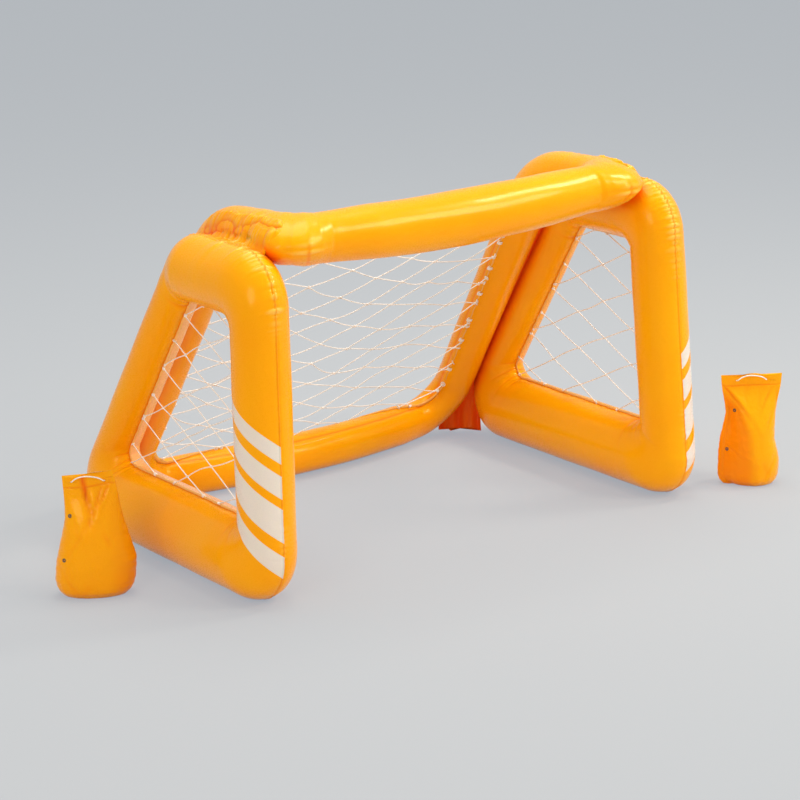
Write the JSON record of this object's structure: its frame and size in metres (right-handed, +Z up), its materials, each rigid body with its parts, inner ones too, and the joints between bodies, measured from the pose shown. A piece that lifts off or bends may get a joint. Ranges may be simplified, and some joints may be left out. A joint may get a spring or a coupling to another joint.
{
  "type": "inflatable water polo goal",
  "caption": "Inflatable water polo goal: ring side frames, a bent loop with crossbar and rear bar, string nets, push-in air valves and loose water-filled anchor bags.",
  "frame": {"origin": "on the floor, midway between the side frames, below the middle of the goal's depth", "axes": "+X to the goal's right seen from in front, +Y to its rear, +Z up; the mouth looks along -Y"},
  "size_m": [1.8544, 0.9729, 0.8613],
  "materials": {
    "vinyl": "glossy inflated vinyl",
    "weld": "welded vinyl seam",
    "bag_vinyl": "creased glossy vinyl",
    "net_string": "knotted white string",
    "bag_cord": "braided white cord",
    "valve": "soft moulded vinyl",
    "eyelet": "matt black"
  },
  "bodies": {
    "goal": {"left_side_frame": "vinyl", "left_opening_seam": "weld", "left_side_net": "net_string", "left_top_weld": "weld", "left_rear_gusset": "weld", "right_side_frame": "vinyl", "right_opening_seam": "weld", "right_side_net": "net_string", "right_top_weld": "weld", "right_rear_gusset": "weld", "left_valve_collar": "weld", "right_valve_collar": "weld", "rear_valve_collar": "weld", "main_loop": "vinyl", "back_net": "net_string", "roof_net": "net_string", "back_net_hem": "weld", "roof_net_hem": "weld", "ridge_cord": "net_string"},
    "left_valve": {"left_valve_stem": "valve"},
    "left_plug": {"left_valve_plug": "valve"},
    "right_valve": {"right_valve_stem": "valve"},
    "right_plug": {"right_valve_plug": "valve"},
    "rear_valve": {"rear_valve_stem": "valve"},
    "rear_plug": {"rear_valve_plug": "valve"},
    "left_bag": {"left_bag_pouch": "bag_vinyl", "left_bag_header": "bag_vinyl", "left_bag_cord": "bag_cord", "left_bag_eyelets": "eyelet"},
    "right_bag": {"right_bag_pouch": "bag_vinyl", "right_bag_header": "bag_vinyl", "right_bag_cord": "bag_cord", "right_bag_eyelets": "eyelet"}
  },
  "joints": [
    {"name": "left_valve_push", "type": "slide", "parent": "goal", "child": "left_valve", "axis": [1, 0, 0], "range_m": [0, 0.0115]},
    {"name": "left_plug_pull", "type": "slide", "parent": "left_valve", "child": "left_plug", "axis": [1, 0, 0], "range_m": [0, 0.0075]},
    {"name": "right_valve_push", "type": "slide", "parent": "goal", "child": "right_valve", "axis": [1, 0, 0], "range_m": [0, 0.0115]},
    {"name": "right_plug_pull", "type": "slide", "parent": "right_valve", "child": "right_plug", "axis": [1, 0, 0], "range_m": [0, 0.0075]},
    {"name": "rear_valve_push", "type": "slide", "parent": "goal", "child": "rear_valve", "axis": [0, 1, 0], "range_m": [0, 0.0115]},
    {"name": "rear_plug_pull", "type": "slide", "parent": "rear_valve", "child": "rear_plug", "axis": [0, 1, 0], "range_m": [0, 0.0075]},
    {"name": "left_bag_lift", "type": "slide", "parent": "goal", "child": "left_bag", "axis": [0, 0, 1], "range_m": [0, 0.3]},
    {"name": "right_bag_lift", "type": "slide", "parent": "goal", "child": "right_bag", "axis": [0, 0, 1], "range_m": [0, 0.3]}
  ]
}
